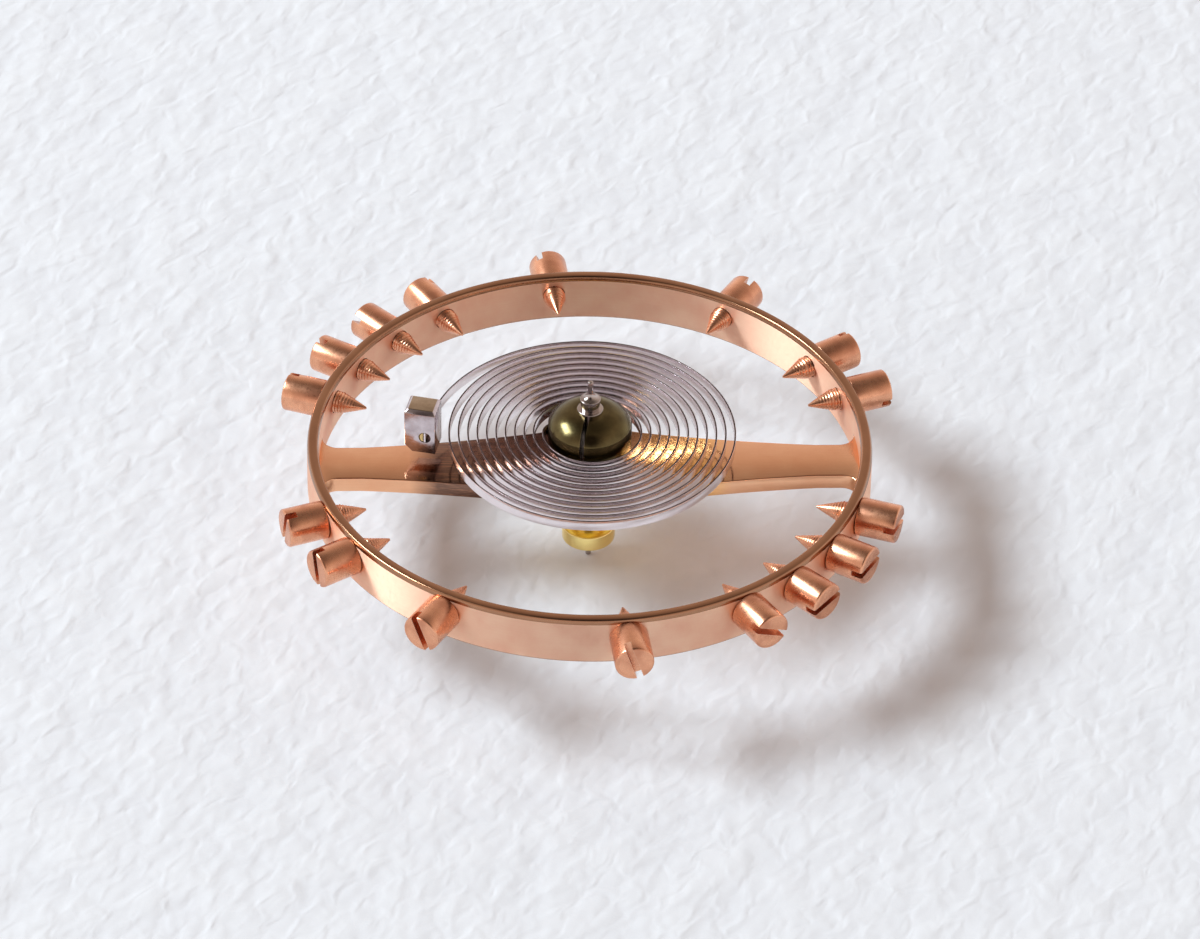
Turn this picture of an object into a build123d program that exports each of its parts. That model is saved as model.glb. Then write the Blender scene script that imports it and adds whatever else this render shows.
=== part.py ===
from build123d import *
import os
from math import acos, cos, degrees, hypot, pi, radians, sin

# Balance wheel of a wrist watch: a screwed two-arm wheel on its staff, with the double roller
# below it and the flat hairspring, pinned to its stud, above it.
# Lengths are in millimetres and angles in degrees. The origin is the tip of the lower pivot,
# +Z runs up the staff and +X runs along one arm.

# Wheel
rim_diameter = 10.0
rim_thickness = 0.21
rim_height = 0.92
rim_edge_bevel = 0.025
rim_top_level = 2.60
arm_drop = 0.49
arm_thickness = 0.30
arm_end_width = 0.88
arm_mid_width = 1.20
arm_root_width = 1.66
hub_width = 1.90
arm_fillet_radius = 0.28
# Where the three arm widths lie, as shares of the rim's inner radius
arm_reach_shares = (0.19, 0.50, 0.84)

# Balance screws: the arms' ends leave no room, so on each half of the rim the screws fill some of
# the evenly spaced places between one arm and the other, and both halves are alike. In the
# pattern, from +X on, an x is a screw and a dot is a bare place.
screw_start_angle = 20.0
screw_place_pattern = "xx.x..x.xxxx"
screw_drop = 0.39
screw_head_diameter = 0.68
screw_head_length = 0.72
screw_head_bevel = 0.04
screw_shank_diameter = 0.40
screw_shank_projection = 0.12
screw_point_length = 0.46
screw_point_flat = 0.02
screw_slot_width = 0.12
screw_slot_depth = 0.20
screw_fit_clearance = 0.005
# How far each slot is turned from upright, for the half turn from +X and then the other half
screw_slot_angles = (75, 20, -15, 30, -35, 55, 10, -20, 15, -12, -24, -18, -62, 80, 88, -78)

# Staff
staff_length = 3.90
pivot_diameter = 0.10
lower_pivot_length = 0.24
upper_pivot_length = 0.22
pivot_tip_bevel = 0.02
pivot_root_diameter = 0.30
pivot_root_length = 0.15
upper_shoulder_diameter = 0.37
upper_shoulder_neck_diameter = 0.32
upper_shoulder_length = 0.22
roller_seat_diameter = 0.42
staff_flange_diameter = 1.30
staff_flange_thickness = 0.22
wheel_seat_diameter = 0.74
rivet_diameter = 0.84
rivet_height = 0.05
collet_seat_diameter = 0.46
seat_clearance = 0.005

# Double roller and its jewel pin
roller_rise_above_root = 0.04
roller_table_diameter = 2.10
roller_table_thickness = 0.20
roller_neck_diameter = 0.64
safety_roller_diameter = 0.95
safety_roller_height = 0.30
roller_edge_bevel = 0.03
passing_notch_radius = 0.17
jewel_diameter = 0.26
jewel_flat_share = 0.62
jewel_edge_wall = 0.17
jewel_gap_to_safety_roller = 0.24
jewel_clearance = 0.005

# Hairspring: a flat strip on edge, wound in half turns, opened out to its stud
strip_thickness = 0.03
strip_height = 0.20
coil_pitch = 0.166
spring_outer_reach = 2.57
spring_collet_gap = 0.087
spring_top_above_rim = 0.19
terminal_widening = 0.23
terminal_sweep = 76.2
inner_bend_radius = 0.25
inner_tail_length = 0.85

# Collet: a slit ring with a domed top that grips the staff
collet_diameter = 1.48
collet_drop_below_spring = 0.15
collet_wall_above_spring = 0.19
collet_dome_rise = 0.30
collet_dome_bulge = 0.06
collet_edge_bevel = 0.04
collet_slit_width = 0.09
collet_slit_angle = 257.0
collet_hole_wall = 0.09
collet_pin_length = 1.10

# Cross holes in the collet and the stud, and the flatted pins that hold the strip in them
strip_hole_clearance = 0.009
pin_clearance = 0.006

# Stud: the block that holds the outer end
stud_width = 0.56
stud_depth = 0.50
stud_rise_above_spring = 0.46
stud_drop_below_spring = 0.24
stud_hole_offset = 0.09
stud_top_bevel = 0.06
stud_foot_bevel = 0.14
stud_pin_length = 0.72

# Every cut runs past the faces that it opens by this much
cut_overrun = 0.10

# Radii and levels that the pieces share
rim_radius = rim_diameter / 2
rim_inner_radius = rim_radius - rim_thickness
rim_bottom_level = rim_top_level - rim_height
arm_top_level = rim_top_level - arm_drop
arm_bottom_level = arm_top_level - arm_thickness
screw_level = rim_top_level - screw_drop
spring_top_level = rim_top_level + spring_top_above_rim
spring_bottom_level = spring_top_level - strip_height
spring_mid_level = spring_top_level - strip_height / 2
pin_hole_diameter = hypot(strip_height, strip_thickness) + 2 * strip_hole_clearance
collet_radius = collet_diameter / 2
collet_bottom_level = spring_bottom_level - collet_drop_below_spring
collet_wall_level = spring_top_level + collet_wall_above_spring
collet_top_level = collet_wall_level + collet_dome_rise
collet_hole_offset = collet_radius - collet_hole_wall - pin_hole_diameter / 2
stud_top_level = spring_top_level + stud_rise_above_spring
stud_bottom_level = spring_bottom_level - stud_drop_below_spring
roller_top_level = arm_bottom_level - staff_flange_thickness
lower_root_level = lower_pivot_length + pivot_root_length
roller_bottom_level = lower_root_level + roller_rise_above_root
screw_seat_radius = rim_radius
screw_end_radius = rim_radius + screw_head_length
screw_tip_radius = rim_inner_radius - screw_shank_projection - screw_point_length
place_angle = (180.0 - 2 * screw_start_angle) / (len(screw_place_pattern) - 1)
half_angles = [
    screw_start_angle + place * place_angle
    for place, mark in enumerate(screw_place_pattern)
    if mark == "x"
]
screw_angles = half_angles + [angle + 180.0 for angle in half_angles]

os.makedirs("parts", exist_ok=True)


def radial_plane(angle):
    """Upright plane through the screw at this angle: local X points outwards and local Y up."""
    turn = radians(angle)
    return Plane(
        origin=(0, 0, screw_level),
        x_dir=(cos(turn), sin(turn), 0),
        z_dir=(sin(turn), -cos(turn), 0),
    )


def face_plane(angle, reach, turn):
    """Plane square to the screw at this angle, with its local X turned from upright."""
    outwards = Vector(cos(radians(angle)), sin(radians(angle)), 0)
    sideways = Vector(-sin(radians(angle)), cos(radians(angle)), 0)
    upright = Vector(0, 0, 1) * cos(radians(turn)) + sideways * sin(radians(turn))
    return Plane(origin=outwards * reach + Vector(0, 0, screw_level), x_dir=upright, z_dir=outwards)


# The wheel: rim, crossbar and the tapped holes for the screws
arm_root_reach = rim_inner_radius * arm_reach_shares[0]
arm_mid_reach = rim_inner_radius * arm_reach_shares[1]
arm_end_reach = rim_inner_radius * arm_reach_shares[2]
arm_foot_reach = rim_inner_radius + rim_thickness / 2

with BuildPart() as balance_wheel:
    with BuildSketch(Plane.XY.offset(rim_bottom_level)):
        Circle(rim_radius)
        Circle(rim_inner_radius, mode=Mode.SUBTRACT)
    extrude(amount=rim_height)
    circles = balance_wheel.edges().filter_by(GeomType.CIRCLE)
    chamfer(circles, length=rim_edge_bevel)
    with BuildSketch(Plane.XY.offset(arm_bottom_level)):
        with BuildLine():
            Line((arm_foot_reach, arm_end_width / 2), (arm_end_reach, arm_end_width / 2))
            ThreePointArc(
                (arm_end_reach, arm_end_width / 2),
                (arm_mid_reach, arm_mid_width / 2),
                (arm_root_reach, arm_root_width / 2),
            )
            ThreePointArc(
                (arm_root_reach, arm_root_width / 2),
                (0, hub_width / 2),
                (-arm_root_reach, arm_root_width / 2),
            )
            ThreePointArc(
                (-arm_root_reach, arm_root_width / 2),
                (-arm_mid_reach, arm_mid_width / 2),
                (-arm_end_reach, arm_end_width / 2),
            )
            Line((-arm_end_reach, arm_end_width / 2), (-arm_foot_reach, arm_end_width / 2))
            Line((-arm_foot_reach, arm_end_width / 2), (-arm_foot_reach, 0))
            Line((-arm_foot_reach, 0), (arm_foot_reach, 0))
            Line((arm_foot_reach, 0), (arm_foot_reach, arm_end_width / 2))
        make_face()
        mirror(about=Plane.XZ)
    extrude(amount=arm_thickness)
    corners = [
        edge
        for edge in balance_wheel.edges().filter_by(Axis.Z)
        if abs(hypot(edge.center().X, edge.center().Y) - rim_inner_radius) < rim_thickness / 2
        and abs(edge.length - arm_thickness) < rim_edge_bevel
    ]
    fillet(corners, radius=arm_fillet_radius)
    with BuildSketch(Plane.XY.offset(arm_bottom_level - cut_overrun)):
        Circle(wheel_seat_diameter / 2 + seat_clearance)
    extrude(amount=arm_thickness + 2 * cut_overrun, mode=Mode.SUBTRACT)
    for angle in screw_angles:
        with BuildSketch(face_plane(angle, rim_inner_radius - cut_overrun, 0)):
            Circle(screw_shank_diameter / 2 + screw_fit_clearance)
        extrude(amount=rim_thickness + 2 * cut_overrun, mode=Mode.SUBTRACT)
balance_wheel.part.label = "balance_wheel"
export_step(balance_wheel.part, "parts/balance_wheel.step")


def make_balance_screw(angle, slot_turn):
    """Slotted screw: the head sits on the rim and the shank ends in a point inside it."""
    plane = radial_plane(angle)
    head_radius = screw_head_diameter / 2
    shank_radius = screw_shank_diameter / 2
    with BuildPart() as balance_screw:
        with BuildSketch(plane):
            with BuildLine():
                Polyline(
                    (screw_tip_radius, 0),
                    (screw_tip_radius, screw_point_flat),
                    (screw_tip_radius + screw_point_length, shank_radius),
                    (screw_seat_radius, shank_radius),
                    (screw_seat_radius, head_radius - screw_head_bevel / 2),
                    (screw_seat_radius + screw_head_bevel / 2, head_radius),
                    (screw_end_radius - screw_head_bevel, head_radius),
                    (screw_end_radius, head_radius - screw_head_bevel),
                    (screw_end_radius, 0),
                    close=True,
                )
            make_face()
        revolve(axis=Axis(plane.origin, plane.x_dir))
        with BuildSketch(face_plane(angle, screw_end_radius - screw_slot_depth, slot_turn)):
            Rectangle(screw_head_diameter + 2 * cut_overrun, screw_slot_width)
        extrude(amount=screw_slot_depth + cut_overrun, mode=Mode.SUBTRACT)
    return balance_screw.part


for number, (angle, slot_turn) in enumerate(zip(screw_angles, screw_slot_angles), start=1):
    screw = make_balance_screw(angle, slot_turn)
    screw.label = f"balance_screw_{number:02d}"
    export_step(screw, f"parts/{screw.label}.step")

# The staff: turned in one piece, with a pivot at each end. The shoulder below the upper pivot is
# undercut, so that oil doesn't creep down to the collet.
pivot_radius = pivot_diameter / 2
root_radius = pivot_root_diameter / 2
upper_shoulder_level = staff_length - upper_pivot_length - pivot_root_length
collet_seat_top_level = upper_shoulder_level - upper_shoulder_length

with BuildPart() as balance_staff:
    with BuildSketch(Plane.XZ):
        with BuildLine():
            Polyline(
                (0, 0),
                (pivot_radius - pivot_tip_bevel, 0),
                (pivot_radius, pivot_tip_bevel),
                (pivot_radius, lower_pivot_length),
            )
            RadiusArc(
                (pivot_radius, lower_pivot_length), (root_radius, lower_root_level), -pivot_root_length
            )
            Polyline(
                (root_radius, lower_root_level),
                (roller_seat_diameter / 2, lower_root_level),
                (roller_seat_diameter / 2, roller_top_level),
                (staff_flange_diameter / 2, roller_top_level),
                (staff_flange_diameter / 2, arm_bottom_level),
                (wheel_seat_diameter / 2, arm_bottom_level),
                (wheel_seat_diameter / 2, arm_top_level),
                (rivet_diameter / 2, arm_top_level),
                (rivet_diameter / 2, arm_top_level + rivet_height / 2),
                (rivet_diameter / 2 - rivet_height / 2, arm_top_level + rivet_height),
                (collet_seat_diameter / 2, arm_top_level + rivet_height),
                (collet_seat_diameter / 2, collet_seat_top_level),
                (upper_shoulder_neck_diameter / 2, collet_seat_top_level),
                (upper_shoulder_diameter / 2, upper_shoulder_level),
                (root_radius, upper_shoulder_level),
            )
            RadiusArc(
                (root_radius, upper_shoulder_level),
                (pivot_radius, staff_length - upper_pivot_length),
                -pivot_root_length,
            )
            Polyline(
                (pivot_radius, staff_length - upper_pivot_length),
                (pivot_radius, staff_length - pivot_tip_bevel),
                (pivot_radius - pivot_tip_bevel, staff_length),
                (0, staff_length),
                (0, 0),
            )
        make_face()
    revolve(axis=Axis.Z)
balance_staff.part.label = "balance_staff"
export_step(balance_staff.part, "parts/balance_staff.step")

# The double roller: a table that holds the jewel pin, a neck and the small safety roller.
# The jewel stands square to the arms, over the passing notch.
table_bottom_level = roller_top_level - roller_table_thickness
safety_top_level = roller_bottom_level + safety_roller_height
jewel_bottom_level = safety_top_level + jewel_gap_to_safety_roller
jewel_radius = jewel_diameter / 2
jewel_flat_offset = jewel_radius * jewel_flat_share
jewel_reach = roller_table_diameter / 2 - jewel_edge_wall - jewel_flat_offset

with BuildPart() as double_roller:
    with BuildSketch(Plane.XY.offset(table_bottom_level)):
        Circle(roller_table_diameter / 2)
    extrude(amount=roller_table_thickness)
    rims = double_roller.edges().filter_by(GeomType.CIRCLE)
    chamfer(rims, length=roller_edge_bevel)
    with BuildSketch(Plane.XY.offset(roller_bottom_level)):
        Circle(safety_roller_diameter / 2)
        with Locations((0, safety_roller_diameter / 2)):
            Circle(passing_notch_radius, mode=Mode.SUBTRACT)
    extrude(amount=safety_roller_height)
    with BuildSketch(Plane.XY.offset(safety_top_level)):
        Circle(roller_neck_diameter / 2)
    extrude(amount=table_bottom_level - safety_top_level)
    with BuildSketch(Plane.XY.offset(roller_bottom_level - cut_overrun)):
        Circle(roller_seat_diameter / 2 + seat_clearance)
    extrude(amount=roller_top_level - roller_bottom_level + 2 * cut_overrun, mode=Mode.SUBTRACT)
    with BuildSketch(Plane.XY.offset(table_bottom_level - cut_overrun)):
        with Locations((0, jewel_reach)):
            Circle(jewel_radius + jewel_clearance)
        with Locations((0, jewel_reach + jewel_flat_offset + jewel_clearance)):
            Rectangle(
                jewel_diameter * 2, jewel_radius * 2, align=(Align.CENTER, Align.MIN), mode=Mode.SUBTRACT
            )
    extrude(amount=roller_table_thickness + 2 * cut_overrun, mode=Mode.SUBTRACT)
double_roller.part.label = "double_roller"
export_step(double_roller.part, "parts/double_roller.step")

with BuildPart() as impulse_jewel:
    with BuildSketch(Plane.XY.offset(jewel_bottom_level)):
        with Locations((0, jewel_reach)):
            Circle(jewel_radius)
        with Locations((0, jewel_reach + jewel_flat_offset)):
            Rectangle(
                jewel_diameter * 2, jewel_radius * 2, align=(Align.CENTER, Align.MIN), mode=Mode.SUBTRACT
            )
    extrude(amount=roller_top_level - jewel_bottom_level)
impulse_jewel.part.label = "impulse_jewel"
export_step(impulse_jewel.part, "parts/impulse_jewel.step")

# The hairspring's line. It starts just outside the collet, on its left, and holds as many half
# turns as the pitch leaves room for. Its lower half turns are centred a quarter of a turn's
# growth to the right and its upper ones as far to the left, so each half turn grows by half of
# it and meets the next one without a corner. It ends in a wider arc that runs out to the stud.
# Inside, it bends inwards until its straight tail lines up with the collet's cross hole.
spring_inner_reach = collet_radius + spring_collet_gap
full_turns = int((spring_outer_reach - spring_inner_reach) / coil_pitch)
spring_half_turns = 2 * full_turns + 1
turn_growth = 2 * (spring_outer_reach - spring_inner_reach) / spring_half_turns
quarter_pitch = turn_growth / 4
lower_centre = Vector(quarter_pitch, 0)
upper_centre = Vector(-quarter_pitch, 0)
spring_turn_radii = [
    spring_inner_reach + quarter_pitch + turn_growth / 2 * index
    for index in range(spring_half_turns)
]
last_radius = spring_outer_reach + quarter_pitch
terminal_radius = last_radius + terminal_widening
terminal_centre = upper_centre - Vector(0, terminal_widening)
terminal_end_angle = 90.0 + terminal_sweep
terminal_end = terminal_centre + Vector(
    terminal_radius * cos(radians(terminal_end_angle)), terminal_radius * sin(radians(terminal_end_angle))
)
terminal_direction = Vector(-sin(radians(terminal_end_angle)), cos(radians(terminal_end_angle)))
spring_start = lower_centre - Vector(spring_turn_radii[0], 0)
inner_bend_centre = spring_start + Vector(inner_bend_radius, 0)
inner_bend_sweep = degrees(
    acos((collet_hole_offset - inner_bend_radius) / (spring_inner_reach - inner_bend_radius))
)
inner_bend_angle = 180.0 - inner_bend_sweep
tail_direction = Vector(-sin(radians(inner_bend_angle)), cos(radians(inner_bend_angle)))
tail_end = inner_bend_centre + Vector(
    inner_bend_radius * cos(radians(inner_bend_angle)), inner_bend_radius * sin(radians(inner_bend_angle))
)
tail_start = tail_end - tail_direction * inner_tail_length
stud_hole_end = terminal_end + terminal_direction * stud_depth


def spring_arcs():
    """Every arc of the line in turn: centre, radius, first angle and sweep."""
    arcs = [(inner_bend_centre, inner_bend_radius, inner_bend_angle, inner_bend_sweep)]
    for index, radius in enumerate(spring_turn_radii):
        if index % 2 == 0:
            arcs.append((lower_centre, radius, 180.0, 180.0))
        else:
            arcs.append((upper_centre, radius, 0.0, 180.0))
    arcs.append((upper_centre, last_radius, 0.0, 90.0))
    arcs.append((terminal_centre, terminal_radius, 90.0, terminal_sweep))
    return arcs


with BuildPart() as hairspring:
    with BuildLine(Plane.XY.offset(spring_mid_level)):
        Line(tail_start, tail_end)
        for centre, radius, first_angle, sweep_angle in spring_arcs():
            CenterArc(centre, radius, first_angle, sweep_angle)
        Line(terminal_end, stud_hole_end)
    strip_plane = Plane(
        origin=tail_start + Vector(0, 0, spring_mid_level),
        x_dir=(0, 0, 1),
        z_dir=tail_direction,
    )
    with BuildSketch(strip_plane):
        Rectangle(strip_height, strip_thickness)
    sweep()
hairspring.part.label = "hairspring"
export_step(hairspring.part, "parts/hairspring.step")

# The collet: domed ring, slit down one side, with a cross hole for the spring's inner end.
# The hole follows the straight tail of the spring.
bore_radius = collet_seat_diameter / 2 + seat_clearance
dome_mid = Vector((collet_radius + bore_radius) / 2, (collet_wall_level + collet_top_level) / 2)
tail_side = Vector(tail_direction.Y, -tail_direction.X)
hole_centre = tail_side * collet_hole_offset
slit_reach = collet_radius + cut_overrun
slit_direction = Vector(cos(radians(collet_slit_angle)), sin(radians(collet_slit_angle)), 0)

with BuildPart() as collet:
    with BuildSketch(Plane.XZ):
        with BuildLine():
            Polyline(
                (collet_radius, collet_wall_level),
                (collet_radius, collet_bottom_level + collet_edge_bevel),
                (collet_radius - collet_edge_bevel, collet_bottom_level),
                (bore_radius, collet_bottom_level),
                (bore_radius, collet_top_level),
            )
            ThreePointArc(
                (bore_radius, collet_top_level),
                (dome_mid.X + collet_dome_bulge, dome_mid.Y + collet_dome_bulge),
                (collet_radius, collet_wall_level),
            )
        make_face()
    revolve(axis=Axis.Z)
    slit_plane = Plane(
        origin=(0, 0, collet_bottom_level - cut_overrun), x_dir=slit_direction, z_dir=(0, 0, 1)
    )
    with BuildSketch(slit_plane):
        with Locations((slit_reach / 2, 0)):
            Rectangle(slit_reach, collet_slit_width)
    extrude(amount=collet_top_level - collet_bottom_level + 2 * cut_overrun, mode=Mode.SUBTRACT)
    hole_plane = Plane(origin=hole_centre + Vector(0, 0, spring_mid_level), z_dir=tail_direction)
    with BuildSketch(hole_plane):
        Circle(pin_hole_diameter / 2)
    extrude(amount=collet_radius + cut_overrun, both=True, mode=Mode.SUBTRACT)
collet.part.label = "collet"
export_step(collet.part, "parts/collet.step")


def make_half_pin(start, direction, side, length):
    """Pin with a flat: it fills one side of a cross hole and presses the strip against the other."""
    pin_radius = pin_hole_diameter / 2 - pin_clearance
    flat_offset = strip_thickness / 2 + pin_clearance
    plane = Plane(origin=start + Vector(0, 0, spring_mid_level), x_dir=side, z_dir=direction)
    with BuildPart() as half_pin:
        with BuildSketch(plane):
            Circle(pin_radius)
            with Locations((flat_offset, 0)):
                Rectangle(
                    pin_hole_diameter, pin_hole_diameter, align=(Align.MAX, Align.CENTER), mode=Mode.SUBTRACT
                )
        extrude(amount=length)
    return half_pin.part


# The collet pin goes in beside the strip, from the end of the hole away from the coils
collet_pin = make_half_pin(
    tail_end - tail_direction * collet_pin_length, tail_direction, tail_side * -1, collet_pin_length
)
collet_pin.label = "collet_pin"
export_step(collet_pin, "parts/collet_pin.step")

# The stud: a block square to the spring's outer end, with its hole nearer the coils
stud_side = Vector(-terminal_direction.Y, terminal_direction.X)
stud_centre = terminal_end + terminal_direction * (stud_depth / 2) - stud_side * stud_hole_offset
stud_plane = Plane(
    origin=stud_centre + Vector(0, 0, stud_bottom_level), x_dir=stud_side, z_dir=(0, 0, 1)
)

with BuildPart() as stud:
    with BuildSketch(stud_plane):
        Rectangle(stud_width, stud_depth)
    extrude(amount=stud_top_level - stud_bottom_level)
    top_edges = stud.faces().sort_by(Axis.Z)[-1].edges()
    chamfer(top_edges, length=stud_top_bevel)
    foot_edge = (
        stud.faces()
        .sort_by(Axis.Z)[0]
        .edges()
        .sort_by(lambda edge: (edge.center() - stud_centre).dot(stud_side))[0]
    )
    chamfer(foot_edge, length=stud_foot_bevel)
    with BuildSketch(
        Plane(origin=terminal_end + Vector(0, 0, spring_mid_level), z_dir=terminal_direction)
    ):
        Circle(pin_hole_diameter / 2)
    extrude(amount=stud_depth + cut_overrun, mode=Mode.SUBTRACT)
    with BuildSketch(
        Plane(origin=terminal_end + Vector(0, 0, spring_mid_level), z_dir=terminal_direction * -1)
    ):
        Circle(pin_hole_diameter / 2)
    extrude(amount=cut_overrun, mode=Mode.SUBTRACT)
stud.part.label = "stud"
export_step(stud.part, "parts/stud.step")

stud_pin = make_half_pin(
    terminal_end + terminal_direction * (stud_depth - stud_pin_length), terminal_direction, stud_side * -1,
    stud_pin_length,
)
stud_pin.label = "stud_pin"
export_step(stud_pin, "parts/stud_pin.step")


def spring_points(step):
    """Points along the spring's line about one step apart."""
    points = [tail_start]
    for centre, radius, first_angle, sweep_angle in spring_arcs():
        count = int(radians(sweep_angle) * radius / step) + 2
        for index in range(count):
            angle = radians(first_angle + sweep_angle * index / (count - 1))
            points.append(centre + Vector(radius * cos(angle), radius * sin(angle)))
    points.append(stud_hole_end)
    return points


# What the spring measures: its length, and the least gap between one turn and the next
line_length = inner_tail_length + stud_depth
line_length += sum(radians(arc[3]) * arc[1] for arc in spring_arcs())
mark_step = turn_growth / 2
marks = spring_points(mark_step)
half_turn_marks = int(pi * collet_radius / mark_step)
least_gap = min(
    hypot(first.X - second.X, first.Y - second.Y)
    for index, first in enumerate(marks)
    for second in marks[index + half_turn_marks:]
) - strip_thickness
print(f"hairspring length {line_length:.2f}, turns {spring_half_turns / 2 + 0.5:.1f}")
line_volume = line_length * strip_thickness * strip_height
print(f"hairspring volume {hairspring.part.volume:.5f} against {line_volume:.5f}")
print(f"least gap between turns {least_gap:.3f}")
print(f"gap from the stud's foot to the arms {stud_bottom_level - arm_top_level:.3f}")
print(f"over the screw heads {2 * screw_end_radius:.2f}, screw tip radius {screw_tip_radius:.2f}")
print(f"tail {tail_end.dot(tail_side):.4f} from the axis, its hole {collet_hole_offset:.4f}")
print(f"stud centre {stud_centre.X:.3f}, {stud_centre.Y:.3f}, top {stud_top_level:.3f}")
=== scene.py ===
from math import acos, asin, atan2, ceil, cos, degrees, hypot, radians, sin, sqrt

import bmesh
import bpy
from mathutils import Matrix, Vector


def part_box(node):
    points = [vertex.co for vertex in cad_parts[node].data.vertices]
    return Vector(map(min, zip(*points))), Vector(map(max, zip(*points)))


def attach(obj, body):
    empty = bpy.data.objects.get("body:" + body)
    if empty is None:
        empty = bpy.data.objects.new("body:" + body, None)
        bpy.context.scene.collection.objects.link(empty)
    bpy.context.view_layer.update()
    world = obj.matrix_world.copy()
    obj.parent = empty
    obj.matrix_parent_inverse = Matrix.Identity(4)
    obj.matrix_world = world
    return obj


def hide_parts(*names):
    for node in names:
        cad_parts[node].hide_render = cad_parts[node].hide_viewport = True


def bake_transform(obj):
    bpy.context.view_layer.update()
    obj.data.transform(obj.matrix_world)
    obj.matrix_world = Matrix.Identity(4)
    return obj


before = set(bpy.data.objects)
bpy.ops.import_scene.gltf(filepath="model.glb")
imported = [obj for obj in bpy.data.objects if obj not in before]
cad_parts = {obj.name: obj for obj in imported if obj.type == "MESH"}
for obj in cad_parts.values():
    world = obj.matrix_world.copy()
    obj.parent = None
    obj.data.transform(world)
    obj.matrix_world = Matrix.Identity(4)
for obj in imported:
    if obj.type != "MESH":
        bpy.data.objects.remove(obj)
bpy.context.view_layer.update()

# A wrist watch's balance with its hairspring, on white paper. Lengths here are in millimetres and
# angles in degrees, and every piece is scaled to metres when it is finished. The levels and outer
# radii come from the frame, and the other sizes are named below, piece by piece.
MM = 0.001


def node_box(name):
    """Lowest and highest corner of a CAD node, in millimetres."""
    low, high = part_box(name)
    return low / MM, high / MM


wheel_low, wheel_high = node_box("balance_wheel")
staff_high = node_box("balance_staff")[1]
roller_low, roller_high = node_box("double_roller")
jewel_low, jewel_high = node_box("impulse_jewel")
spring_low, spring_high = node_box("hairspring")
collet_low, collet_high = node_box("collet")
stud_low, stud_high = node_box("stud")

# Wheel. A value that ends in normal is the least upright part of a face's unit normal.
rim_radius = wheel_high.x
rim_thickness = 0.21
rim_edge_radius = 0.025
rim_worn_reach = 0.05
rim_worn_drop = 0.125
rim_column_angle = 0.75
rim_wall_rows = 8
rim_worn_steps = 7
painted_shade_band_normal = 0.12
arm_drop = 0.49
arm_thickness = 0.30
arm_end_width = 0.88
arm_mid_width = 1.20
arm_root_width = 1.66
hub_width = 1.90
arm_fillet_radius = 0.28
arm_edge_radius = 0.02
arm_reach_shares = (0.19, 0.50, 0.84)
arm_curve_steps = 28
arm_fillet_steps = 12
arm_face_margin = 0.004
hub_hole_radius = 0.375
hub_hole_segments = 96
hole_radius = 0.205
hole_patch_angle = 3.6
hole_patch_columns = 10
hole_patch_half_height = 0.25

# Screws: an x in the pattern is a screw and a dot is a bare place, from +X to -X
screw_start_angle = 20.0
screw_place_pattern = "xx.x..x.xxxx"
screw_drop = 0.39
screw_slot_angles = (75, 20, -15, 30, -35, 55, 10, -20, 15, -12, -24, -18, -62, 80, 88, -78)
head_radius = 0.34
head_length = 0.72
head_edge_radius = 0.04
shank_radius = 0.20
shank_projection = 0.12
point_length = 0.46
point_flat = 0.02
slot_width = 0.12
slot_depth = 0.20
thread_pitch = 0.052
thread_depth = 0.016
thread_share_of_point = 0.62
thread_rows = 6
head_face_rows = 5
head_edge_steps = 4
head_lobe_columns = 26
slot_columns = 4

# Staff
pivot_radius = 0.05
lower_pivot_length = 0.24
upper_pivot_length = 0.22
pivot_tip_radius = 0.02
root_radius = 0.15
upper_shoulder_radius = 0.185
upper_shoulder_neck_radius = 0.16
upper_shoulder_length = 0.22
roller_seat_radius = 0.21
wheel_seat_radius = 0.37
rivet_radius = 0.42
rivet_height = 0.05
collet_seat_radius = 0.23
staff_edge_radius = 0.012
staff_flare_sweep = 48.2
staff_flare_steps = 8
staff_segments = 128

# Double roller and jewel
roller_table_thickness = 0.20
roller_neck_radius = 0.32
safety_roller_radius = 0.475
safety_roller_height = 0.30
roller_edge_radius = 0.03
passing_notch_radius = 0.17
passing_notch_segments = 64
roller_segments = 192

jewel_radius = 0.13
jewel_flat_share = 0.62
jewel_clearance = 0.005
jewel_edge_radius = 0.012
jewel_round_steps = 40

# Hairspring: half turns of growing radius, a wider arc out to the stud, a bend in to the collet
strip_thickness = 0.03
strip_edge_radius = 0.007
strip_edge_steps = 2
strip_painted_shade_normal = 0.5
spring_pitch = 0.166
spring_full_turns = 10
spring_collet_gap = 0.087
spring_step_angle = 2.0
terminal_widening = 0.23
terminal_sweep = 76.2
inner_bend_radius = 0.25
inner_tail_length = 0.85
inner_tail_steps = 8
stud_passage_steps = 6

# Collet
collet_wall_rise_share = 0.643
collet_bulge = 0.06
collet_dome_steps = 28
collet_edge_radius = 0.04
collet_columns = 240
collet_slit_width = 0.09
collet_slit_angle = 257.0
collet_hole_wall = 0.09
collet_pin_length = 1.10
strip_hole_clearance = 0.009
strip_hole_segments = 48
pin_clearance = 0.006
pin_edge_radius = 0.015
pin_round_steps = 28

# Stud
stud_width = 0.56
stud_depth = 0.50
stud_hole_offset = 0.09
stud_top_bevel = 0.06
stud_painted_reflection_normal = 0.9
stud_foot_bevel = 0.14
stud_edge_radius = 0.015
stud_edge_steps = 3
stud_pin_length = 0.72

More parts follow.
